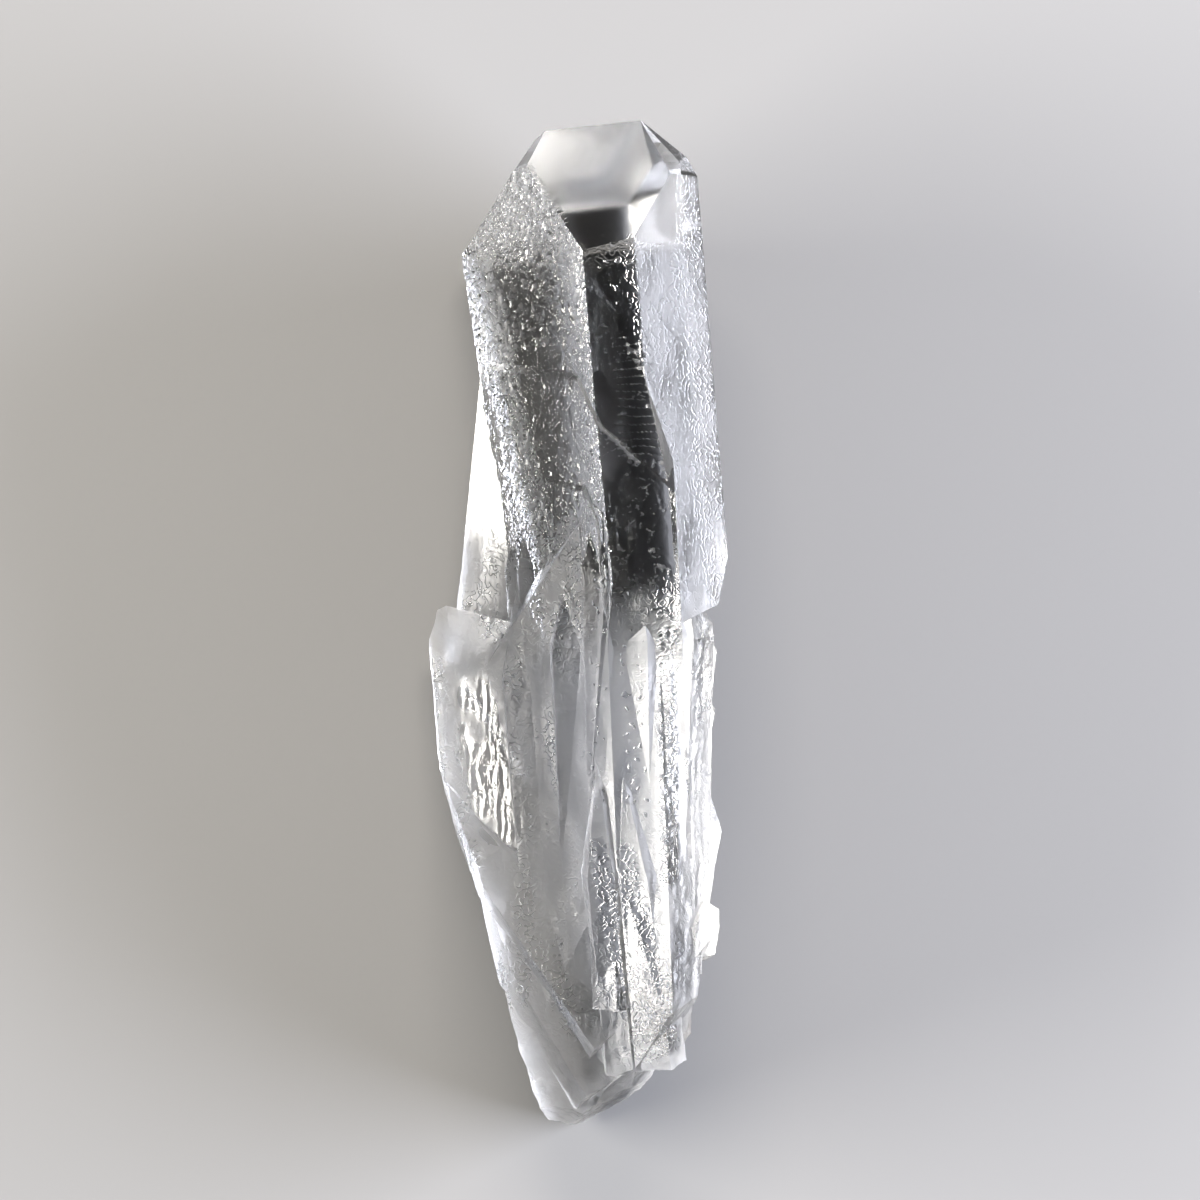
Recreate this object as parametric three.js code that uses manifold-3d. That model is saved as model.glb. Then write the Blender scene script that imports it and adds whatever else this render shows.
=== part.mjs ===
// A Lemurian quartz crystal lying on its flat back, in millimetres: +Z up, +Y from the broken foot to the tip.
// One main crystal carries growth terraces and side crystals that grew together with it, so it is one solid.
// Every crystal is a convex body bounded by flat faces. They are joined first, then the broken foot is chipped.
import * as THREE from "three";
import { ConvexGeometry } from "three/addons/geometries/ConvexGeometry.js";
import { mergeVertices } from "three/addons/utils/BufferGeometryUtils.js";
import Module from "manifold-3d";

const wasm = await Module();
wasm.setup();

// Driving dimensions
const RIDGE_HEIGHT = 20; // the chisel edge at the tip, above the flat back
const FRONT_HEIGHT = 38; // the front prism face of the main crystal
const AXIS_LEAN = 4.6; // degrees that the main crystal leans to the left of +Y
const TIP_FACE_ANGLE = 38.2; // degrees between a quartz tip face and the crystal's long axis
const TERRACE_BED = 10; // the depth inside the main crystal that the front terraces grow from
const PRISM_SIDES = 6;

const degrees = THREE.MathUtils.degToRad;
const point = (x, y, z) => new THREE.Vector3(x, y, z);

// The direction of the main crystal's long axis, which its prism faces follow.
const AXIS = point(-Math.sin(degrees(AXIS_LEAN)), Math.cos(degrees(AXIS_LEAN)), 0);
const FLOOR = new THREE.Plane(point(0, 0, -1), 0);

// A boundary plane through three points, facing away from a point inside the crystal.
function faceThrough(a, b, c, inside) {
  const plane = new THREE.Plane().setFromCoplanarPoints(a, b, c);
  return plane.distanceToPoint(inside) > 0 ? plane.negate() : plane;
}

// A prism face: it holds two points and runs along the long axis.
function prismFace(a, b, inside) {
  return faceThrough(a, b, a.clone().add(AXIS), inside);
}

// A side wall over the line from a to b in plan. It leans inwards by undercut degrees on its way down.
function wall(a, b, inside, undercut = 0) {
  const along = b.clone().sub(a).setZ(0).normalize();
  const outwards = point(along.y, -along.x, 0);
  if (outwards.dot(inside.clone().sub(a)) > 0) outwards.negate();
  const lean = degrees(undercut);
  const normal = outwards.multiplyScalar(Math.cos(lean)).setZ(-Math.sin(lean));
  return new THREE.Plane().setFromNormalAndCoplanarPoint(normal, a);
}

// The same plane one growth step further out.
function grown(plane, step) {
  return new THREE.Plane(plane.normal.clone(), plane.constant - step);
}

// The closed convex body that a list of boundary planes leaves, each plane facing outwards.
function bodyWithin(planes) {
  const tolerance = 1e-6;
  const corners = [];
  for (let i = 0; i < planes.length; i++)
    for (let j = i + 1; j < planes.length; j++)
      for (let k = j + 1; k < planes.length; k++) {
        const corner = cornerOf(planes[i], planes[j], planes[k]);
        if (!corner || planes.some((p) => p.distanceToPoint(corner) > tolerance)) continue;
        if (corners.every((other) => other.distanceTo(corner) > 1e-4)) corners.push(corner);
      }
  return toSolid(new ConvexGeometry(corners));
}

// The point where three planes meet, or null where two of them are parallel.
function cornerOf(p, q, r) {
  const across = q.normal.clone().cross(r.normal);
  const volume = p.normal.dot(across);
  if (Math.abs(volume) < 1e-9) return null;
  return across
    .multiplyScalar(-p.constant)
    .addScaledVector(r.normal.clone().cross(p.normal), -q.constant)
    .addScaledVector(p.normal.clone().cross(q.normal), -r.constant)
    .divideScalar(volume);
}

// A closed three.js geometry as a solid that can be joined and cut.
function toSolid(geometry) {
  geometry.deleteAttribute("normal");
  geometry.deleteAttribute("uv");
  const merged = mergeVertices(geometry, 1e-4);
  return new wasm.Manifold(
    new wasm.Mesh({
      numProp: 3,
      vertProperties: new Float32Array(merged.attributes.position.array),
      triVerts: new Uint32Array(merged.index.array),
    }),
  );
}

// The main crystal: a flattened prism with one large tip face in front.
const MAIN_INSIDE = point(3, 40, 15);
const ridgeLeft = point(-6.2, 93.9, RIDGE_HEIGHT);
const ridgeRight = point(11.9, 96, RIDGE_HEIGHT);
const frontLeft = point(1, 70.3, FRONT_HEIGHT);
const frontRight = point(10.5, 72.8, FRONT_HEIGHT - 1);
const leftPeak = point(-10.4, 88.2, 23.8);
const leftShoulder = point(-22.3, 70.9, 4.9);
const rightShoulder = point(17.6, 85.3, 28.3);
const rightCorner = point(22.7, 85.1, 22.8);
const rightPeak = point(21.8, 88.2, 19.8);
const LEFT_FACE = prismFace(leftPeak, frontLeft, MAIN_INSIDE);
const FRONT_FACE = prismFace(frontLeft, frontRight, MAIN_INSIDE);
const RIGHT_FACE = prismFace(frontRight, rightShoulder, MAIN_INSIDE);

function mainCrystal() {
  return bodyWithin([
    LEFT_FACE,
    FRONT_FACE,
    RIGHT_FACE,
    faceThrough(ridgeLeft, ridgeRight, frontLeft, MAIN_INSIDE),
    faceThrough(ridgeRight, rightShoulder, rightCorner, MAIN_INSIDE),
    faceThrough(ridgeLeft, point(-9.4, 87.4, 24.6), point(-8.6, 92.2, 18), MAIN_INSIDE),
    faceThrough(ridgeLeft, ridgeRight, point(2.5, 71.5, 0), MAIN_INSIDE),
    wall(point(-10.7, 88.4, 20), leftShoulder, MAIN_INSIDE),
    faceThrough(leftShoulder, point(-18.5, 45.8, 7.5), point(-7, 50, 0), MAIN_INSIDE),
    faceThrough(ridgeRight, rightPeak, point(14.5, 75, 0), MAIN_INSIDE),
    prismFace(rightCorner, point(11.5, 62, 0), MAIN_INSIDE),
    wall(point(28.5, 13, 22), point(26.6, 4, 22), MAIN_INSIDE),
    wall(point(26.6, 4, 22), point(18.9, 0.2, 22), MAIN_INSIDE),
    FLOOR,
  ]);
}

// The growth terraces in front: each layer ends in a steep face that slants down to the right.
function frontTerraces() {
  const inside = point(10, 5, 30);
  const firstFront = faceThrough(point(3, 62, 38.4), point(16.5, 31, 37), point(5.4, 15, 40.2), inside);
  const foot = wall(point(0, -44, 30), point(10, -44, 30), inside);
  const descent = faceThrough(point(0, 4, 41), point(14, 4, 39), point(10, -45, 28.5), inside);
  const rightEdge = wall(point(18, 31, 32), point(18.9, 12.5, 32), inside);
  const bed = new THREE.Plane(point(0, 0, -1), TERRACE_BED);
  const first = bodyWithin([
    firstFront,
    faceThrough(point(2, 65.7, 38), point(10.4, 56.2, 37.1), point(4, 58, 38.9), inside),
    faceThrough(point(10.4, 56.2, 37), point(18, 31, 32.6), point(13.3, 41, 38.2), inside),
    rightEdge,
    wall(point(1.6, 65.7, 32), point(5.4, 15, 32), inside),
    wall(point(0, 65.7, 32), point(10, 65.7, 32), inside),
    descent,
    foot,
    bed,
  ]);
  const second = bodyWithin([
    grown(firstFront, 0.9),
    grown(LEFT_FACE, 1.3),
    faceThrough(point(-2.4, 52.4, 32), point(4.7, 36.9, 39.8), point(7, 38, 37), inside),
    faceThrough(point(4.7, 36.9, 39.8), point(12, 30.2, 39), point(13, 31.6, 36.5), inside),
    wall(point(-10.9, 51.5, 24), point(-2.4, 52.4, 32), inside, -30),
    wall(point(-17.2, 45.6, 16), point(-10.9, 51.5, 24), inside, -30),
    wall(point(-17.2, 45.6, 16), point(-11.5, 0, 16), inside),
    rightEdge,
    descent,
    foot,
    bed,
  ]);
  const core = point(1, 5, 30);
  const third = bodyWithin([
    grown(firstFront, 1.6),
    grown(LEFT_FACE, 2.4),
    faceThrough(point(-0.5, 30.6, 34), point(4.5, 18, 41), point(7, 19, 38), core),
    wall(point(-6, 26, 28), point(-0.5, 30.6, 34), core, -30),
    wall(point(-6, 26, 28), point(-4.2, 0, 28), core),
    wall(point(5.2, 18, 38), point(7.4, -10, 38), core, -35),
    rightEdge,
    descent,
    foot,
    bed,
  ]);
  return [first, second, third];
}

// The tapering crystal on the left flank, whose long front face widens towards the foot.
function leftFlank() {
  const inside = point(-17, 5, 4);
  const apex = point(-18.9, 45.8, 7);
  const outerFoot = point(-24.8, 1.7, 3.5);
  return bodyWithin([
    faceThrough(apex, outerFoot, point(-15.5, 30, 9.9), inside),
    wall(apex, outerFoot, inside, 30),
    wall(point(-9.5, 24, 5), point(-6.5, -4, 5), inside),
    faceThrough(point(-24, -12, 6), point(-8, -12, 6), point(-16, -6, 0), inside),
    faceThrough(point(-24.8, 1.7, 2.6), point(-18.9, 45.8, 6), point(-10, 20, 1), inside),
    FLOOR,
  ]);
}

// The blade on the lower left: a narrow outer face, a crease, and a broad striated face towards the middle.
function leftBlade() {
  const inside = point(-18, -25, 8);
  const creaseTop = point(-24.6, -0.8, 9.5);
  const creaseFoot = point(-20.4, -33.1, 11.5);
  const outerTop = point(-28.5, -3.6, 4.5);
  const outerFoot = point(-26, -29.6, 5.5);
  return bodyWithin([
    faceThrough(creaseTop, creaseFoot, outerFoot, inside),
    faceThrough(creaseTop, creaseFoot, point(-14.7, -21.7, 15.5), inside),
    faceThrough(point(-28, -0.5, 4), point(-24.8, 1.5, 8), point(-17, -3.5, 11), inside),
    wall(outerTop, outerFoot, inside, 28),
    wall(point(-28.6, -3.6, 6), point(-27.6, 0.2, 6), inside),
    wall(outerFoot, point(-17.6, -56.8, 7), inside, 12),
    faceThrough(point(-22, -36, 12), point(-9, -43, 19), point(-16, -52, 7), inside),
    wall(point(-6, 0, 5), point(-6, -48, 5), inside),
    faceThrough(point(-27, -2, 3.2), point(-25, -28, 4.2), point(-10, -15, 0.8), inside),
  ]);
}

// The intergrown lower half between the blade and the right ridges, tapering to the broken foot.
function lowerCore() {
  const inside = point(3, -40, 12);
  const crestTop = point(5, 12, 39.6);
  const crestFoot = point(7.5, -45, 35);
  return bodyWithin([
    faceThrough(crestTop, crestFoot, point(-16, -22, 13.8), inside),
    faceThrough(crestTop, crestFoot, point(15.5, -20, 35.2), inside),
    faceThrough(point(15.5, 0, 36), point(16.5, -50, 33.5), point(25, -25, 22), inside),
    faceThrough(point(-10, -58, 20), crestFoot, point(12, -90, 23), inside),
    wall(point(-26, -29.6, 7), point(-17.6, -56.8, 7), inside, 12),
    wall(point(-17.6, -56.8, 9), point(-12.5, -93.5, 9), inside, 25),
    wall(point(24.6, 2, 20), point(24.4, -52, 20), inside, 30),
    wall(point(24.4, -50, 20), point(18.6, -84, 18), inside, 22),
    wall(point(21, -78, 10), point(12.5, -88, 10), inside, -15),
    wall(point(14, -87, 10), point(-2, -95.6, 10), inside, -10),
    wall(point(-2, -95.8, 10), point(-13, -94, 10), inside),
    faceThrough(point(2, 22, 37), point(-17, -6, 12), point(-12, 6, 9), inside),
    wall(point(2, 24, 30), point(24, 2, 20), inside),
    faceThrough(point(-10, -88, 0), point(10, -88, 0), point(0, 0, 3), inside),
    faceThrough(point(-24, -29.6, 5.5), point(-13, -90, 4), point(-4, -40, 0.5), inside),
    FLOOR,
  ]);
}

// A six-sided quartz point from its foot to its tip. across is its width over the flats and flatness how
// much thinner it is front to back. A roll of 30 degrees turns an edge to the front instead of a face.
// taper is the angle between its tip faces and its axis, small for the steep points of this crystal.
function quartzPoint({ tip, foot, across, flatness = 1, roll = 0, taper = TIP_FACE_ANGLE }) {
  const axis = tip.clone().sub(foot).normalize();
  const front = point(0, 0, 1).addScaledVector(axis, -axis.z).normalize();
  const side = front.clone().cross(axis);
  const slope = degrees(taper);
  const planes = [FLOOR, new THREE.Plane().setFromNormalAndCoplanarPoint(axis.clone().negate(), foot)];
  for (let i = 0; i < PRISM_SIDES; i++) {
    const turn = degrees(roll + (360 / PRISM_SIDES) * i);
    const out = side.clone().multiplyScalar(Math.sin(turn)).addScaledVector(front, Math.cos(turn));
    const reach = (across / 2) * Math.hypot(Math.sin(turn), flatness * Math.cos(turn));
    const tipOut = out.clone().multiplyScalar(Math.cos(slope)).addScaledVector(axis, Math.sin(slope));
    planes.push(new THREE.Plane().setFromNormalAndCoplanarPoint(out, foot.clone().addScaledVector(out, reach)));
    planes.push(new THREE.Plane().setFromNormalAndCoplanarPoint(tipOut, tip));
  }
  return bodyWithin(planes);
}

// The sub-parallel crystals that make the ridges of the lower half.
const RIDGE_CRYSTALS = [
  // Ridges along the crest
  { tip: point(5, 28, 38), foot: point(7.4, -72, 24), across: 9, roll: 30, taper: 15 },
  { tip: point(11, 14, 35.8), foot: point(12.4, -66, 24), across: 10, roll: 12, taper: 17 },
  { tip: point(-0.8, 16, 30.5), foot: point(2.6, -66, 17), across: 10.5, roll: 22, taper: 15 },
  { tip: point(-8.4, 32, 14), foot: point(-4, -36, 15), across: 12, roll: 8, taper: 16 },
  { tip: point(-10.8, 13, 17.5), foot: point(-4.6, -62, 14), across: 11, roll: 25, taper: 14 },
  // Ridges on the right, one behind the other
  { tip: point(17.4, 10, 33.5), foot: point(15.4, -56, 25), across: 8.5, roll: 22, taper: 16 },
  { tip: point(19.8, 14, 27), foot: point(17, -66, 16), across: 11.5, roll: 6, taper: 20 },
  { tip: point(23.2, 0, 19), foot: point(20, -34, 15), across: 7, roll: 30 },
  { tip: point(23, -11, 16), foot: point(19.5, -36, 12), across: 7.5, roll: 30 },
  { tip: point(24.2, -29, 18), foot: point(18.6, -62, 15), across: 8.5, roll: 15, taper: 24 },
  // Ridges low in front
  { tip: point(3.6, -26, 36.2), foot: point(9.4, -84, 19.5), across: 9, roll: 18, taper: 12 },
  { tip: point(8.6, -28, 36.6), foot: point(15.6, -83, 20), across: 9, roll: 8, taper: 13 },
  // Diagonal slabs low on the left
  { tip: point(-25.6, -30, 7), foot: point(8, -78, 21), across: 13, flatness: 0.8, roll: 10, taper: 16 },
  { tip: point(-20.4, -45, 6.5), foot: point(6, -88, 16), across: 14, flatness: 0.8, roll: 0, taper: 16 },
];

// The clear side point low on the right, and the rounded lump under it.
function sidePoint() {
  return toSolid(
    new ConvexGeometry([
      point(22.4, -57.6, 27),
      point(24, -52.2, 24),
      point(22.2, -62.6, 25.5),
      point(26.8, -53.8, 21),
      point(26.9, -57.2, 22),
      point(26, -62.6, 19),
      point(24.4, -55, 14),
      point(23, -64.4, 16),
      point(14, -54, 17),
      point(15, -66, 15),
    ]),
  );
}

function footLump() {
  return toSolid(
    new ConvexGeometry([
      point(19.6, -66.2, 21),
      point(21.8, -70.6, 19),
      point(21.5, -77.6, 17),
      point(19.4, -80.6, 18),
      point(18.6, -71.5, 25),
      point(18.2, -77, 24),
      point(19.6, -72, 10),
      point(11, -69, 14),
      point(11, -81, 13),
    ]),
  );
}

// The shell-shaped hollows of the break, each the place and radius of the ball that it is part of.
const BREAK_HOLLOWS = [
  { centre: point(-9, -112, 20), radius: 22 },
  { centre: point(14, -104, 30), radius: 21 },
  { centre: point(-16, -90, 34), radius: 15 },
  { centre: point(2, -98, 42), radius: 18 },
];

function ball({ centre, radius }) {
  const geometry = new THREE.IcosahedronGeometry(radius, 5);
  geometry.translate(centre.x, centre.y, centre.z);
  return toSolid(geometry);
}

const grownTogether = [
  ...frontTerraces(),
  leftFlank(),
  leftBlade(),
  lowerCore(),
  ...RIDGE_CRYSTALS.map(quartzPoint),
  sidePoint(),
  footLump(),
].reduce((whole, crystal) => whole.add(crystal), mainCrystal());
const solid = BREAK_HOLLOWS.map(ball).reduce((whole, hollow) => whole.subtract(hollow), grownTogether);

const built = solid.getMesh();
const geometry = new THREE.BufferGeometry()
  .setAttribute("position", new THREE.BufferAttribute(built.vertProperties, 3))
  .setIndex(new THREE.BufferAttribute(built.triVerts, 1));

// The origin is under the middle of the whole crystal, on the surface that it lies on.
geometry.computeBoundingBox();
const middle = geometry.boundingBox.getCenter(point(0, 0, 0));
geometry.translate(-middle.x, -middle.y, -geometry.boundingBox.min.z);

const crystal = new THREE.Mesh(
  geometry,
  new THREE.MeshStandardMaterial({ color: 0xe6e8ec, roughness: 0.08, metalness: 0 }),
);
crystal.name = "crystal";

const part = new THREE.Group();
part.add(crystal);
export default part;
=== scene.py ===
import math
from types import SimpleNamespace

import bmesh
import bpy
import numpy as np
from mathutils import Matrix, Vector
from mathutils.geometry import delaunay_2d_cdt


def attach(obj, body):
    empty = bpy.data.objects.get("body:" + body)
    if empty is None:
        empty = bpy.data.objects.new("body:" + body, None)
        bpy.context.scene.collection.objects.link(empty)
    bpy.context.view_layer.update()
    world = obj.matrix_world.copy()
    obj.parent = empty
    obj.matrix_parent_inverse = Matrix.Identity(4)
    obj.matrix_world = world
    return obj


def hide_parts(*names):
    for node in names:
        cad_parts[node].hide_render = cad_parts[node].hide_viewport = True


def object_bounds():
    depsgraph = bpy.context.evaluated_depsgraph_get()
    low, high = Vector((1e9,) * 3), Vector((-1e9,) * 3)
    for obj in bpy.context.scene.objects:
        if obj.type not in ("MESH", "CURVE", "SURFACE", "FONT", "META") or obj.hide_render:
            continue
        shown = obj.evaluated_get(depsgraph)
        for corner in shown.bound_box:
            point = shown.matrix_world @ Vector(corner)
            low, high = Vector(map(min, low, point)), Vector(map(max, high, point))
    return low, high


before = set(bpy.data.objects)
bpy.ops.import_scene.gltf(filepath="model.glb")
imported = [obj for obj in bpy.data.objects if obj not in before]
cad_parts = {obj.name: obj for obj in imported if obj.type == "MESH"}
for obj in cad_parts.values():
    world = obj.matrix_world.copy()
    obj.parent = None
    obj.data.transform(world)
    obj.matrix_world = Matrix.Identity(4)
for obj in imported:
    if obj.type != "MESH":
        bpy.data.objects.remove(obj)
cad_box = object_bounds()

# Sizes are in millimetres, in the part's own frame, and become metres where an object is made.
# +Y runs up the crystal to its tip, +X to the right and +Z towards the camera.
MM = 0.001

# Spacing of the mesh points
ETCHED_SPACING = 0.34  # on large faces with fine strokes
FINE_SPACING = 0.5  # on other faces that look up
SMOOTH_SPACING = 1.0  # on large smooth faces
SIDE_SPACING = 0.9  # on steep sides
BACK_SPACING = 1.5  # on the underside
JITTER = 0.16  # how far a point strays from its even place, as a share of the spacing
EDGE_CLEARANCE = 0.55  # how far a point stays from the edges of its face, as a share of the spacing

# Which flat face has which spacing
BACK_BELOW_Z = -0.3  # a normal that points lower than this is on the underside
SIDE_BELOW_Z = 0.06  # a normal that points lower than this is on a steep side
SMOOTH_ABOVE_X = 0.6  # a large face that looks further to the right than this is smooth
SMOOTH_ABOVE_Y = 0.3  # and so is one that looks further to the tip than this
LARGE_ABOVE_Y = 12.0  # how far up the crystal its large faces begin
LARGE_AREA = 150.0  # square millimetres

# How the solid is taken apart into flat faces, and these into triangles
WELD_DISTANCE = 0.001
FLAT_ANGLE = math.radians(0.4)  # faces that meet at less than this are one flat face
CREASE_ANGLE = math.radians(9)  # edges sharper than this stay sharp
INSIDE_OUTLINE = 1  # the kind of triangulation that leaves out all that lies outside the outline
PLANE_TOLERANCE = 1e-7
TINY = 1e-12  # stands in for zero below a fraction line

# Large primes and masks of the random numbers
PRIME_X = 73856093
PRIME_Y = 19349663
PRIME_Z = 83492791
PRIME_SEED = 374761393
PRIME_AXIS = 668265263
MIXER = 0x45D9F3B
LOW_32_BITS = 0xFFFFFFFF
HALF_OF_32_BITS = 2147483648.0
NOISE_GAIN = 1.2  # brings the noise to about -1..1

# Seeds of the mesh points and of the random patterns
SEED = 7
STROKE_SEED = SEED
GRAIN_SEED = SEED + 80
LUMP_SEED = SEED + 120
CHIP_SEED = SEED + 160
RUNG_SEED = SEED + 200
FURROW_SEED = SEED + 210
BLOTCH_SEED = SEED + 240
MILKY_EDGE_SEED = SEED + 270
WINDOW_SEED = SEED + 300
FRONT_SEED = SEED + 330
HAIRLINE_SEED = SEED + 360
LAYER_SEED_STEP = 40  # from one layer of strokes to the next

# Random patterns: the size of their features, across and along the crystal where these differ
STROKE_SIZES = (1.9, 1.5, 1.7)  # one for each layer
STROKE_WIDTH = 0.26  # as a share of the noise's height
HAIRLINE_SIZES = (2.3, 2.8, 1.9)
HAIRLINE_WIDTH = 0.07
GRAIN_SIZE = np.array((1.6, 8.0, 1.6))
LUMP_SIZE = 5.0
CHIP_SIZE = 2.4
BLOTCH_SIZE = np.array((6.0, 14.0, 6.0))
RUNG_STEP = 1.5  # from one ladder line to the next
RUNG_BEND = 5.0  # radians by which the lines stray from even places
RUNG_BEND_SIZE = 8.0
RUNG_SHARPNESS = 3
FURROW_STEP = 1.3
FURROW_BEND = 7.0
FURROW_BEND_SIZE = np.array((2.5, 6.0, 2.5))

# Which way the faces of a region look: the range of a normal over which a face comes to count as one
UP_Z = (-0.1, 0.2)
NOT_BACK_Z = (-0.7, -0.4)
FLANK_LEFT = (0.4, 0.5)
FLANK_Z = (0.68, 0.76)
LEFT_FACE_LEFT = (0.3, 0.5)
LEFT_FACE_Z = (0.2, 0.5)
RIGHT_FACE_X = (0.6, 0.8)
RIGHT_FACE_Z = (-0.4, -0.2)
TIP_Y = (0.3, 0.5)
TIP_FRONT_Z = (0.65, 0.75)
SLANTED_X = (0.1, 0.2)
FRONT_Z = (0.8, 0.9)
WINDOW_Z = (0.6, 0.7)
TURNED_RIGHT_X = (0.2, 0.7)

# Where the regions pass into each other
TIP_FADE_Y = (56.0, 60.0)
FRONT_FADE_Y = (50.0, 66.0)
FOOT_FADE_Y = (-84.0, -72.0)
CLEAN_FADE_Y = (71.3, 72.3)  # the clean top of the right face
CLEAN_FADE_X = (18.0, 20.0)
LADDER_X = (7.0, 18.5)
LADDER_Y = (30.0, 55.0)
LADDER_SOFT_X = 1.0
LADDER_SOFT_Y = 3.0
MILKY_FADE = (4.0, 18.0)  # from the milky lower half to the clear upper half
MILKY_FALL = 0.25  # how far this edge falls for each millimetre to the right
MILKY_WANDER = 3.0  # how far it strays
MILKY_WANDER_SIZE = 6.0
# The densely etched top of the left face ends below at a line that rises to the right and then runs level
LEFT_TOP_START = (-17.2, 45.6)
LEFT_TOP_SLOPE = 0.94
LEFT_TOP_LEVEL = 51.8
LEFT_TOP_SOFT = 1.5
LEFT_TOP_WANDER = 0.4  # how far this line strays, as a share of the milky edge's straying
# The front's right edge, which leans to the left on its way up
RIGHT_RIM_X = 21.5
RIGHT_RIM_LEAN = 0.11
RIGHT_RIM_FADE = (-3.5, -1.0)
# Patches in which the front has hairlines and the window has furrows
FRONT_PATCH_SIZE = 6.0
FRONT_PATCHES = (-0.4, 0.1)
WINDOW_PATCH_SIZE = 5.0
WINDOW_PATCHES = (-0.4, 0.2)
WINDOW_FILL = 0.25  # widens the window's patches

# Strips seen from above: upper end, lower end and width
LEFT_RIM = ((-19.5, 67.6), (-6.2, 14.4), 7.0)
WINDOW = ((-19.5, -14.0), (-15.0, -38.0), 9.0)  # the furrowed face of the blade
CLOUD = ((1.0, -10.0), (9.0, -42.0), 17.0)  # the whitest place in the milky half
DOTTED_STRIPS = (
    ((4.6, 14.0), (3.8, -33.0), 3.0),
    ((10.0, -3.0), (11.5, -34.0), 4.0),
)
# White etched strips low on the right
WHITE_STRIPS = (
    ((16.8, -2.0), (17.2, -47.0), 3.6),
    ((3.7, -41.6), (8.5, -63.5), 3.4),
    ((9.0, -42.6), (17.5, -79.0), 3.6),
    ((10.5, -67.0), (14.0, -79.0), 7.0),
)
# Chipped white lines along the growth ledges of the front, and a white patch below them
LEDGE_LINES = (
    ((-2.4, 52.4), (4.6, 36.9), 0.65),
    ((4.6, 36.9), (11.5, 30.6), 0.65),
    ((-0.5, 30.6), (4.3, 18.2), 0.65),
    ((-1.5, 19.0), (-1.2, 8.0), 4.0),
)
STRIP_FADE = (0.35, 0.65)  # where a strip fades out, as shares of its width from its middle

# Heights of the low relief
HEIGHT = SimpleNamespace(
    left_top_strokes=0.2,
    left_face_strokes=0.16,
    lower_strokes=0.06,
    white_strokes=0.1,
    hairlines=0.12,
    grain=0.16,
    lumps=0.18,
    rungs=0.14,
    furrows=0.05,
    chips=0.3,
    window_loss=0.7,  # share of the lower half's relief that the window hasn't
)
# How frosted each region is, from 0 for clear to 1 for white
FROST = SimpleNamespace(
    left_top=0.45,
    left_top_strokes=0.35,  # taken away on a stroke
    left_top_range=(0.08, 1.0),
    lower=0.66,
    lower_blotches=0.5,
    lower_range=(0.35, 1.0),
    cloud=0.25,
    turned_right_loss=0.25,
    window_loss=0.8,
    white_loss=0.5,
    tip=0.2,
    right_face=0.42,
    right_face_blotches=0.25,
    right_face_range=(0.2, 0.7),
    clean_loss=0.4,
    hairlines=0.6,
    rungs=0.5,
    left_rim=0.4,
    ledges=0.6,
    foot=0.2,
)
# How strongly each region is covered with the finest etched lines, from 0 to 1
ETCH = SimpleNamespace(
    left_top=0.45,
    left_face=0.3,
    core=0.2,
    lower=0.24,
    lower_blotches=0.35,
    lower_range=(0.04, 0.5),
    cloud=0.15,
    turned_right_loss=0.5,
    window_loss=0.8,
    foot_loss=0.4,
    white=0.65,
    right_face=0.14,
)
# How strongly each region is covered with fine dots, from 0 to 1
DOTS = SimpleNamespace(dotted=0.7, lower=0.1, core=0.25)
ATTRIBUTES = ("frost", "etch", "dots")  # what the material reads at every point of the mesh

# Optics of clear quartz
QUARTZ_COLOUR = (0.985, 0.99, 1.0, 1.0)
QUARTZ_IOR = 1.544
ABSORPTION_COLOUR = (0.95, 0.94, 0.9, 1.0)
ABSORPTION_DENSITY = 4.0  # per metre
FROST_ROUGHNESS = 0.8  # roughness where the surface is frosted white
MARK_SCALE = 900.0  # features per metre of the noise that makes etched lines and dots
NOISE_MIDDLE = 0.5
LINE_WIDTH = 0.1  # how far a line reaches on each side of the noise's middle
DOT_RANGE = (0.68, 0.8)  # the noise's height at a dot's rim and where the dot is full
DOT_STRENGTH = 2.0  # of a dot, beside a line's 1
POLISHED_MARK = 0.6  # a mark this strong has no frost
MARK_HEIGHT = 0.00022  # metres

# The floor lies just under the back, so that a thin layer of air stays between them
FLOOR_HALF = 4.0  # metres
FLOOR_GAP = 0.0003  # metres
FLOOR_COLOUR = (0.54, 0.54, 0.54, 1.0)
FLOOR_ROUGHNESS = 0.9

# Softboxes: name, place and size in metres, power in watts and colour
SOFTBOXES = (
    ("left_softbox", (-1.32, 0.0, 0.34), (1.0, 0.3), 32.0, (1.0, 0.965, 0.91)),
    ("right_softbox", (1.32, 0.0, 0.25), (1.2, 0.48), 67.0, (0.88, 0.9, 1.0)),
    ("tip_softbox", (0.0, 1.8, 1.0), (1.44, 0.29), 24.0, (1.0, 0.92, 0.82)),
)
LIT_POINT = Vector((0.0, 0.0, 0.02))  # metres
WORLD_COLOUR = (0.5, 0.5, 0.5, 1.0)
WORLD_STRENGTH = 0.12
MAX_BOUNCES = 9
DIFFUSE_BOUNCES = 0  # the floor has direct light only, so it is dark under the crystal

# The photograph's view, from straight above
VIEW_CENTRE = Vector((4.3, 4.9, 20.0))
VIEW_HEIGHT = 1200.0  # of the camera over that centre
VIEW_WIDTH = 228.0  # of what the picture shows there
SENSOR = 36.0


def smoothstep(low, high, value):
    t = np.clip((value - low) / (high - low), 0.0, 1.0)
    return t * t * (3.0 - 2.0 * t)


def within(value, low, high, soft):
    return smoothstep(low - soft, low + soft, value) * (1 - smoothstep(high - soft, high + soft, value))


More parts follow.
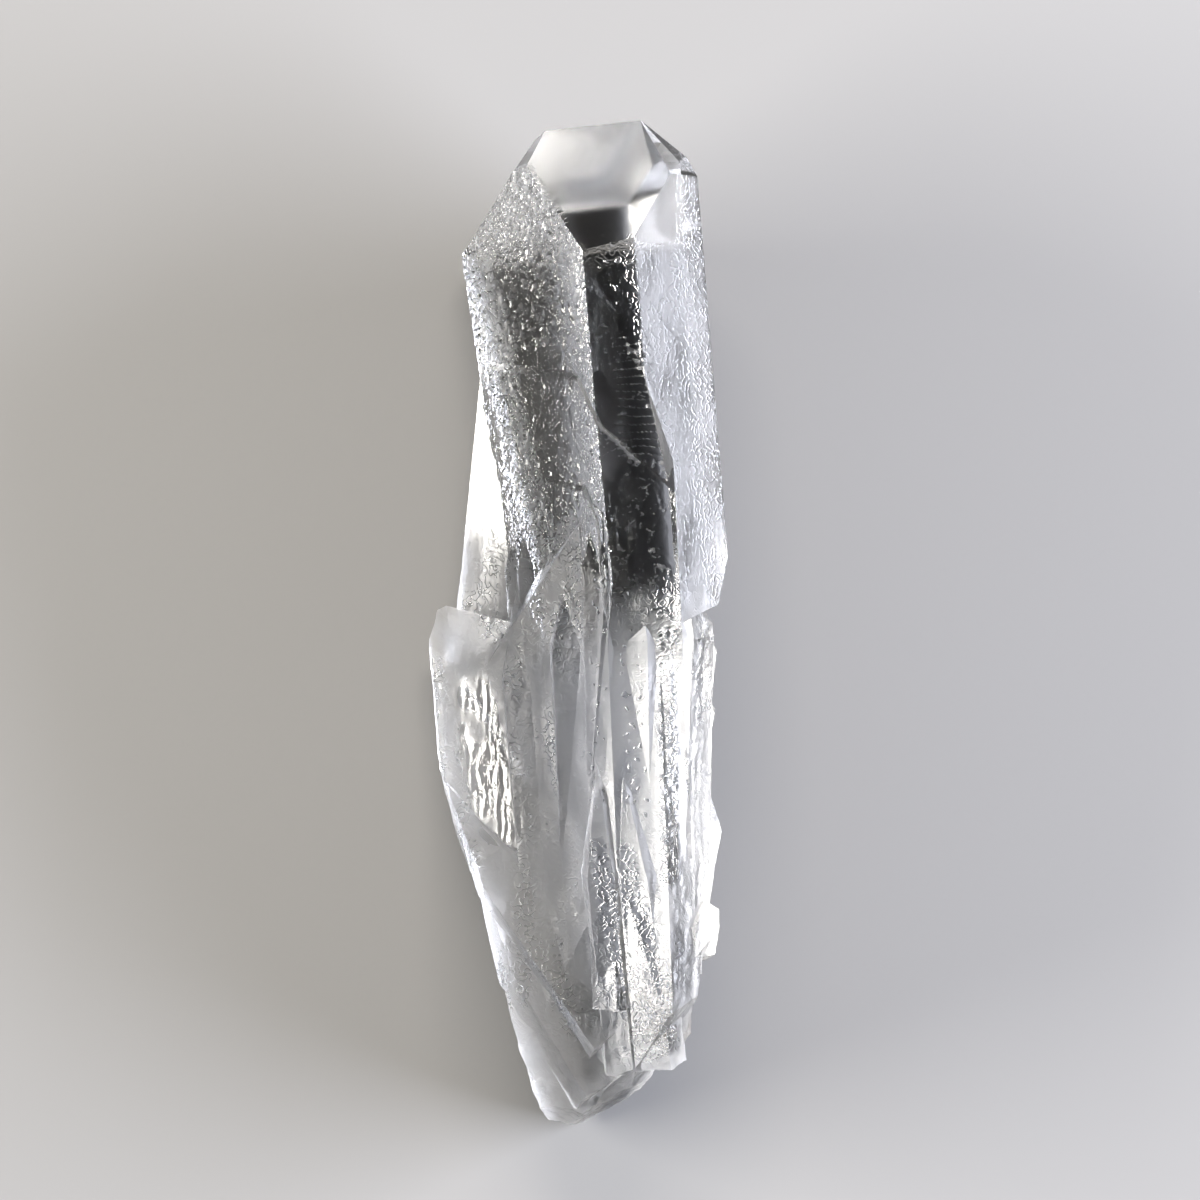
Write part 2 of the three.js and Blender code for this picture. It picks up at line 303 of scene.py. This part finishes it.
def hashed(cell, seed):
    """Three even random numbers in -1..1 for each whole-number cell."""
    key = cell[:, 0] * PRIME_X ^ cell[:, 1] * PRIME_Y ^ cell[:, 2] * PRIME_Z ^ (seed * PRIME_SEED)
    out = np.empty((len(cell), 3))
    for axis in range(3):
        h = (key + axis * PRIME_AXIS) & LOW_32_BITS
        h = ((h ^ (h >> 16)) * MIXER) & LOW_32_BITS
        h = ((h ^ (h >> 16)) * MIXER) & LOW_32_BITS
        h = h ^ (h >> 16)
        out[:, axis] = h / HALF_OF_32_BITS - 1.0
    return out


def noise(p, seed):
    """Smooth gradient noise, about -1..1, with features one unit across."""
    cell = np.floor(p).astype(np.int64)
    f = p - cell
    w = f * f * f * (f * (f * 6 - 15) + 10)
    total = np.zeros(len(p))
    for dx in (0, 1):
        for dy in (0, 1):
            for dz in (0, 1):
                corner = np.array((dx, dy, dz))
                slope = hashed(cell + corner, seed)
                height = np.einsum("ij,ij->i", slope, f - corner)
                share = np.abs(1 - corner - w).prod(axis=1)
                total += height * share
    return total * NOISE_GAIN


def layered_noise(p, seed, octaves=3):
    return sum(noise(p * 2**k, seed + k) / 2**k for k in range(octaves))


def worm_lines(p, size, width, seed):
    """Short winding ridges, 1 along their middle and 0 away from them."""
    bend_size = size * 1.7
    gap_size = size * 1.3
    bend = np.stack([noise(p / bend_size, seed + k) for k in (11, 12, 13)], axis=1)
    track = np.abs(noise(p / size + bend * 0.5, seed))
    broken = smoothstep(-0.25, 0.2, noise(p / gap_size, seed + 5))
    return (1 - smoothstep(0.0, width, track)) * broken


def worm_layers(p, sizes, width, seed):
    return sum(worm_lines(p, size, width, seed + LAYER_SEED_STEP * k) for k, size in enumerate(sizes))


def waves(along, step, shift):
    return np.sin(along * 2 * math.pi / step + shift)


def strip(x, y, start, end, width):
    """1 along a straight strip seen from above, fading out at its sides."""
    run = np.subtract(end, start)
    along = np.clip(((x - start[0]) * run[0] + (y - start[1]) * run[1]) / (run @ run), 0.0, 1.0)
    off = np.hypot(x - start[0] - along * run[0], y - start[1] - along * run[1])
    inner, outer = STRIP_FADE
    return 1 - smoothstep(inner * width, outer * width, off)


def strips(x, y, table):
    return sum(strip(x, y, *row) for row in table)


def regions(p, normal):
    """How far, mostly from 0 to 1, each point belongs to each region of the crystal's surface."""
    x, y = p[:, :2].T
    nx, ny, nz = normal.T
    at = SimpleNamespace()
    at.up = smoothstep(*UP_Z, nz)
    at.tip = smoothstep(*TIP_Y, ny) * smoothstep(*TIP_FADE_Y, y)
    at.tip_front = smoothstep(*TIP_FRONT_Z, nz)
    at.slanted = smoothstep(*SLANTED_X, nx)
    at.turned_right = smoothstep(*TURNED_RIGHT_X, nx)
    wander = MILKY_WANDER * noise(p / MILKY_WANDER_SIZE, MILKY_EDGE_SEED)
    upper = smoothstep(*MILKY_FADE, y + MILKY_FALL * x + wander)
    at.lower = (1 - upper) * smoothstep(*NOT_BACK_Z, nz)

    flank = smoothstep(*FLANK_LEFT, -nx) * smoothstep(*FLANK_Z, nz)
    leftwards = smoothstep(*LEFT_FACE_LEFT, -nx) * smoothstep(*LEFT_FACE_Z, nz) * (1 - flank)
    left_face = leftwards * upper * (1 - at.tip)
    rising = LEFT_TOP_START[1] + LEFT_TOP_SLOPE * (x - LEFT_TOP_START[0])
    over_line = y - np.minimum(rising, LEFT_TOP_LEVEL) + LEFT_TOP_WANDER * wander
    at.left_top = left_face * smoothstep(-LEFT_TOP_SOFT, LEFT_TOP_SOFT, over_line)
    at.left_rest = left_face - at.left_top
    at.left_rim = left_face * strip(x, y, *LEFT_RIM)

    rightwards = smoothstep(*RIGHT_FACE_X, nx) * smoothstep(*RIGHT_FACE_Z, nz)
    at.right_face = rightwards * upper * (1 - at.tip)
    at.clean = smoothstep(*CLEAN_FADE_Y, y) * (1 - smoothstep(*CLEAN_FADE_X, x))

    at.core = upper * at.up * (1 - at.tip) * (1 - at.left_top) * (1 - at.right_face) * (1 - flank)
    at.right_rim = smoothstep(*RIGHT_RIM_FADE, x + RIGHT_RIM_LEAN * y - RIGHT_RIM_X)
    at.front = at.core * smoothstep(*FRONT_Z, nz) * (1 - smoothstep(*FRONT_FADE_Y, y))
    at.front = at.front * smoothstep(*FRONT_PATCHES, noise(p / FRONT_PATCH_SIZE, FRONT_SEED))
    at.ladder = within(x, *LADDER_X, LADDER_SOFT_X) * within(y, *LADDER_Y, LADDER_SOFT_Y) * at.up
    at.ledges = strips(x, y, LEDGE_LINES) * upper * at.up

    furrowed = noise(p / WINDOW_PATCH_SIZE, WINDOW_SEED) + WINDOW_FILL
    at.window = strip(x, y, *WINDOW) * smoothstep(*WINDOW_Z, nz)
    at.window = at.window * smoothstep(*WINDOW_PATCHES, furrowed)
    at.cloud = strip(x, y, *CLOUD)
    at.dotted = strips(x, y, DOTTED_STRIPS)
    at.white = strips(x, y, WHITE_STRIPS) * at.up
    at.foot = 1 - smoothstep(*FOOT_FADE_Y, y)
    return at


def patterns(p):
    """The random patterns at each point: lines from 0 up, and noise and furrows to both sides of 0."""
    x, y = p[:, :2].T
    rungs = waves(y, RUNG_STEP, RUNG_BEND * noise(p / RUNG_BEND_SIZE, RUNG_SEED))
    return SimpleNamespace(
        strokes=worm_layers(p, STROKE_SIZES, STROKE_WIDTH, STROKE_SEED),
        hairlines=worm_layers(p, HAIRLINE_SIZES, HAIRLINE_WIDTH, HAIRLINE_SEED),
        grain=layered_noise(p / GRAIN_SIZE, GRAIN_SEED),
        lumps=layered_noise(p / LUMP_SIZE, LUMP_SEED),
        chips=layered_noise(p / CHIP_SIZE, CHIP_SEED),
        blotches=layered_noise(p / BLOTCH_SIZE, BLOTCH_SEED),
        rungs=np.maximum(rungs, 0.0) ** RUNG_SHARPNESS,
        furrows=waves(x, FURROW_STEP, FURROW_BEND * noise(p / FURROW_BEND_SIZE, FURROW_SEED)),
    )


def relief_height(at, marks):
    """How far each point stands out from its flat face."""
    left = HEIGHT.left_top_strokes * at.left_top + HEIGHT.left_face_strokes * at.left_rest
    rough = HEIGHT.grain * marks.grain + HEIGHT.lumps * marks.lumps + HEIGHT.lower_strokes * marks.strokes
    height = left * marks.strokes
    height += HEIGHT.hairlines * at.front * (1 - at.right_rim) * marks.hairlines
    height += at.lower * rough * (1 - HEIGHT.window_loss * at.window)
    height += at.white * HEIGHT.white_strokes * marks.strokes
    height += at.ladder * HEIGHT.rungs * marks.rungs * (1 - at.right_rim)
    height += at.window * HEIGHT.furrows * marks.furrows
    height += at.foot * HEIGHT.chips * marks.chips
    return height


def frost_amount(at, marks):
    left_top = np.clip(FROST.left_top - FROST.left_top_strokes * marks.strokes, *FROST.left_top_range)
    right = np.clip(FROST.right_face + FROST.right_face_blotches * marks.blotches, *FROST.right_face_range)
    milky = FROST.lower + FROST.lower_blotches * marks.blotches + FROST.cloud * at.cloud
    milky = np.clip(milky, *FROST.lower_range) * (1 - FROST.turned_right_loss * at.turned_right)
    frost = at.left_top * left_top
    frost += at.lower * milky * (1 - FROST.window_loss * at.window) * (1 - FROST.white_loss * at.white)
    frost += FROST.tip * at.tip * at.tip_front
    frost += at.right_face * right * (1 - FROST.clean_loss * at.clean)
    hairlines = FROST.hairlines * at.front * marks.hairlines
    frost += hairlines + FROST.rungs * at.ladder * marks.rungs * (1 - at.right_rim)
    frost += FROST.left_rim * at.left_rim + FROST.ledges * at.ledges
    frost += FROST.foot * at.foot
    return np.clip(frost, 0.0, 1.0)


def etch_amount(at, marks):
    scattered = ETCH.lower - ETCH.lower_blotches * marks.blotches - ETCH.cloud * at.cloud
    scattered = np.clip(scattered, *ETCH.lower_range) * (1 - ETCH.turned_right_loss * at.turned_right)
    scattered = scattered * (1 - ETCH.window_loss * at.window) * (1 - ETCH.foot_loss * at.foot)
    etch = ETCH.left_top * at.left_top + ETCH.left_face * at.left_rest
    etch += ETCH.core * at.core * (1 - at.slanted)
    etch += at.lower * at.up * scattered
    etch += ETCH.white * at.white
    etch += ETCH.right_face * at.right_face * (1 - at.clean)
    return np.clip(etch, 0.0, 1.0)


def dot_amount(at):
    dots = DOTS.dotted * at.dotted + DOTS.lower * at.lower + DOTS.core * at.core * (1 - at.slanted)
    return np.clip(at.up * dots * (1 - at.foot), 0.0, 1.0)


def surface(p, normal):
    """The relief at points of the crystal, and the values of their attributes."""
    at = regions(p, normal)
    marks = patterns(p)
    looks = (frost_amount(at, marks), etch_amount(at, marks), dot_amount(at))
    return relief_height(at, marks), np.stack(looks, axis=1)


def flat_faces(cad):
    """The solid's flat faces, each a bmesh face with many corners, in millimetres."""
    bm = bmesh.new()
    bm.from_mesh(cad.data)
    bm.transform(Matrix.Scale(1 / MM, 4))
    bmesh.ops.remove_doubles(bm, verts=bm.verts, dist=WELD_DISTANCE)
    bmesh.ops.dissolve_limit(bm, angle_limit=FLAT_ANGLE, verts=bm.verts, edges=bm.edges)
    bm.normal_update()
    bm.verts.index_update()
    bm.edges.index_update()
    return bm


def spacing_of(face):
    if face.normal.z < BACK_BELOW_Z:
        return BACK_SPACING
    if face.normal.z < SIDE_BELOW_Z:
        return SIDE_SPACING
    if face.calc_center_median().y > LARGE_ABOVE_Y and face.calc_area() > LARGE_AREA:
        smooth = face.normal.x > SMOOTH_ABOVE_X or face.normal.y > SMOOTH_ABOVE_Y
        return SMOOTH_SPACING if smooth else ETCHED_SPACING
    return FINE_SPACING


def points_inside(corners, spacing, rng):
    """Jittered honeycomb points inside a flat outline, clear of its edges."""
    low, high = corners.min(axis=0), corners.max(axis=0)
    row = spacing * math.sqrt(3) / 2
    ys = np.arange(low[1], high[1], row)
    xs = np.arange(low[0], high[0], spacing)
    if len(xs) == 0 or len(ys) == 0:
        return np.empty((0, 2))
    gx, gy = np.meshgrid(xs, ys)
    gx = gx + (np.arange(len(ys)) % 2)[:, None] * spacing / 2
    pts = np.stack((gx.ravel(), gy.ravel()), axis=1)
    pts += rng.uniform(-JITTER, JITTER, pts.shape) * spacing
    inside = np.zeros(len(pts), bool)
    nearest = np.full(len(pts), np.inf)
    for a, b in zip(corners, np.roll(corners, -1, axis=0)):
        crosses = (a[1] > pts[:, 1]) != (b[1] > pts[:, 1])
        rise = b[1] - a[1]
        crossing = a[0] + (pts[:, 1] - a[1]) * (b[0] - a[0]) / (rise if rise else TINY)
        inside ^= crosses & (pts[:, 0] < crossing)
        edge = b - a
        along = np.clip(((pts - a) @ edge) / max(edge @ edge, TINY), 0, 1)
        nearest = np.minimum(nearest, np.linalg.norm(pts - a - along[:, None] * edge, axis=1))
    return pts[inside & (nearest > EDGE_CLEARANCE * spacing)]


def split_edges(bm, points):
    """Adds even points along the edges. Gives the points of each edge in order, and the sharp pairs."""
    runs, creases = {}, []
    for edge in bm.edges:
        step = min(spacing_of(face) for face in edge.link_faces)
        count = max(1, round(edge.calc_length() / step))
        a, b = (np.array(v.co) for v in edge.verts)
        run = [edge.verts[0].index]
        for k in range(1, count):
            run.append(len(points))
            points.append(a + (b - a) * k / count)
        run.append(edge.verts[1].index)
        runs[edge.index] = run
        if edge.calc_face_angle(math.pi) > CREASE_ANGLE:
            creases += list(zip(run, run[1:]))
    return runs, creases


def fill_face(face, runs, points, rng):
    """Adds points inside a flat face. Gives the numbers of all its points, and its triangles."""
    right = np.array(face.calc_tangent_edge())
    right /= np.linalg.norm(right)
    over = np.cross(np.array(face.normal), right)
    origin = np.array(face.calc_center_median())
    plane = np.stack((right, over), axis=1)
    rim = []
    for loop in face.loops:
        run = runs[loop.edge.index]
        rim += run[:-1] if run[0] == loop.vert.index else run[:0:-1]
    corners = np.array([v.co for v in face.verts])
    flat = [tuple(q) for q in (np.array([points[i] for i in rim]) - origin) @ plane]
    numbers = list(rim)
    for q in points_inside((corners - origin) @ plane, spacing_of(face), rng):
        numbers.append(len(points))
        points.append(origin + plane @ q)
        flat.append(tuple(q))
    outline = [list(range(len(rim)))]
    made = delaunay_2d_cdt([Vector(q) for q in flat], [], outline, INSIDE_OUTLINE, PLANE_TOLERANCE)
    made_triangles, made_from = made[2], made[3]
    source = [numbers[olds[0]] for olds in made_from]
    return numbers, [[source[i] for i in triangle] for triangle in made_triangles]


def fine_mesh(bm):
    """Points, triangles, sharp pairs of points and, for every flat face, its points and normal."""
    rng = np.random.default_rng(SEED)
    points = [np.array(v.co) for v in bm.verts]
    runs, creases = split_edges(bm, points)
    triangles, faces = [], []
    for face in bm.faces:
        numbers, made = fill_face(face, runs, points, rng)
        triangles += made
        faces.append((numbers, np.array(face.normal)))
    return np.array(points), triangles, creases, faces


def carve(points, faces):
    """The points moved by the relief, and their attributes. A point on an edge has its faces' mean."""
    shift = np.zeros_like(points)
    looks = np.zeros((len(points), len(ATTRIBUTES)))
    faces_met = np.zeros(len(points))
    for numbers, normal in faces:
        here = points[numbers]
        relief, look = surface(here, np.broadcast_to(normal, here.shape))
        np.add.at(shift, numbers, relief[:, None] * normal)
        np.add.at(looks, numbers, look)
        np.add.at(faces_met, numbers, 1)
    met = np.maximum(faces_met, 1)[:, None]
    low, high = (np.array(c) / MM for c in cad_box)
    return np.clip(points + shift / met, low, high), looks / met


def quartz_mesh(cad):
    bm = flat_faces(cad)
    points, triangles, creases, faces = fine_mesh(bm)
    bm.free()
    points, looks = carve(points, faces)
    mesh = bpy.data.meshes.new("crystal_quartz")
    mesh.from_pydata((points * MM).tolist(), [], triangles)
    mesh.polygons.foreach_set("use_smooth", np.ones(len(mesh.polygons), bool))
    ends = np.empty(len(mesh.edges) * 2, np.int64)
    mesh.edges.foreach_get("vertices", ends)
    ends = np.sort(ends.reshape(-1, 2), axis=1)
    sharp = {tuple(sorted(pair)) for pair in creases}
    mesh.edges.foreach_set("use_edge_sharp", [tuple(pair) in sharp for pair in ends.tolist()])
    for name, values in zip(ATTRIBUTES, looks.T):
        layer = mesh.attributes.new(name, "FLOAT", "POINT")
        layer.data.foreach_set("value", values.copy())
    mesh.validate()
    mesh.update()
    return mesh


def math_node(nodes, links, operation, *values):
    node = nodes.new("ShaderNodeMath")
    node.operation = operation
    for socket, value in zip(node.inputs, values):
        if isinstance(value, bpy.types.NodeSocket):
            links.new(value, socket)
        else:
            socket.default_value = value
    return node.outputs[0]


def attribute(nodes, name):
    node = nodes.new("ShaderNodeAttribute")
    node.attribute_name = name
    return node.outputs["Fac"]


def fine_noise(nodes, links, scale):
    place = nodes.new("ShaderNodeTexCoord").outputs["Object"]
    tex = nodes.new("ShaderNodeTexNoise")
    tex.inputs["Scale"].default_value = scale
    tex.inputs["Detail"].default_value = 0.0
    links.new(place, tex.inputs["Vector"])
    return tex.outputs["Fac"]


def ramp(nodes, links, value, start, end):
    """Smoothly 0 at the start value and 1 at the end value."""
    node = nodes.new("ShaderNodeMapRange")
    node.interpolation_type = "SMOOTHSTEP"
    node.inputs["From Min"].default_value = start
    node.inputs["From Max"].default_value = end
    links.new(value, node.inputs["Value"])
    return node.outputs["Result"]


def line_pattern(nodes, links, value, width):
    """Thin winding lines where the noise crosses its middle: 1 on a line and 0 between them."""
    away = math_node(nodes, links, "SUBTRACT", value, NOISE_MIDDLE)
    return ramp(nodes, links, math_node(nodes, links, "ABSOLUTE", away), width, 0.0)


def mark_pattern(nodes, links):
    """Fine etched lines and dots, each as strong as the mesh says."""
    grain = fine_noise(nodes, links, MARK_SCALE)
    lines = line_pattern(nodes, links, grain, LINE_WIDTH)
    etched = math_node(nodes, links, "MULTIPLY", lines, attribute(nodes, "etch"))
    dots = ramp(nodes, links, grain, *DOT_RANGE)
    dotted = math_node(nodes, links, "MULTIPLY", dots, attribute(nodes, "dots"))
    return math_node(nodes, links, "MULTIPLY_ADD", dotted, DOT_STRENGTH, etched)


def quartz_material():
    mat = bpy.data.materials.new("quartz")
    mat.use_nodes = True
    nodes, links = mat.node_tree.nodes, mat.node_tree.links
    shader = nodes["Principled BSDF"]
    shader.inputs["Base Color"].default_value = QUARTZ_COLOUR
    shader.inputs["Transmission Weight"].default_value = 1.0
    shader.inputs["IOR"].default_value = QUARTZ_IOR
    marks = mark_pattern(nodes, links)
    unmarked = ramp(nodes, links, marks, POLISHED_MARK, 0.0)
    frosted = math_node(nodes, links, "MULTIPLY", attribute(nodes, "frost"), FROST_ROUGHNESS)
    links.new(math_node(nodes, links, "MULTIPLY", frosted, unmarked), shader.inputs["Roughness"])
    bump = nodes.new("ShaderNodeBump")
    bump.inputs["Distance"].default_value = MARK_HEIGHT
    links.new(marks, bump.inputs["Height"])
    links.new(bump.outputs["Normal"], shader.inputs["Normal"])
    absorb = nodes.new("ShaderNodeVolumeAbsorption")
    absorb.inputs["Color"].default_value = ABSORPTION_COLOUR
    absorb.inputs["Density"].default_value = ABSORPTION_DENSITY
    links.new(absorb.outputs["Volume"], nodes["Material Output"].inputs["Volume"])
    return mat


def add_crystal():
    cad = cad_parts["crystal"]
    piece = bpy.data.objects.new("crystal_quartz", quartz_mesh(cad))
    bpy.context.scene.collection.objects.link(piece)
    piece.data.materials.append(quartz_material())
    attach(piece, "root")
    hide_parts("crystal")


def add_floor():
    mesh = bpy.data.meshes.new("floor")
    half, low = FLOOR_HALF, -FLOOR_GAP
    corners = [(-half, -half, low), (half, -half, low), (half, half, low), (-half, half, low)]
    mesh.from_pydata(corners, [], [(0, 1, 2, 3)])
    floor = bpy.data.objects.new("floor", mesh)
    bpy.context.scene.collection.objects.link(floor)
    mat = bpy.data.materials.new("floor")
    mat.use_nodes = True
    shader = mat.node_tree.nodes["Principled BSDF"]
    shader.inputs["Base Color"].default_value = FLOOR_COLOUR
    shader.inputs["Roughness"].default_value = FLOOR_ROUGHNESS
    mesh.materials.append(mat)


def add_softbox(name, place, size, power, colour):
    light = bpy.data.lights.new(name, "AREA")
    light.shape = "RECTANGLE"
    light.size, light.size_y = size
    light.energy = power
    light.color = colour
    lamp = bpy.data.objects.new(name, light)
    lamp.location = place
    lamp.rotation_euler = (LIT_POINT - Vector(place)).to_track_quat("-Z", "Y").to_euler()
    bpy.context.scene.collection.objects.link(lamp)


def add_lights():
    for row in SOFTBOXES:
        add_softbox(*row)
    world = bpy.data.worlds.new("studio")
    world.use_nodes = True
    background = world.node_tree.nodes["Background"]
    background.inputs["Color"].default_value = WORLD_COLOUR
    background.inputs["Strength"].default_value = WORLD_STRENGTH
    bpy.context.scene.world = world


def add_camera():
    camera = bpy.data.cameras.new("camera")
    camera.sensor_width = SENSOR
    camera.lens = SENSOR * VIEW_HEIGHT / VIEW_WIDTH
    holder = bpy.data.objects.new("camera", camera)
    holder.location = (VIEW_CENTRE + Vector((0, 0, VIEW_HEIGHT))) * MM
    bpy.context.scene.collection.objects.link(holder)
    bpy.context.scene.camera = holder


bpy.context.scene.view_settings.view_transform = "Standard"
bpy.context.scene.cycles.max_bounces = MAX_BOUNCES
bpy.context.scene.cycles.diffuse_bounces = DIFFUSE_BOUNCES
add_crystal()
add_floor()
add_lights()
add_camera()
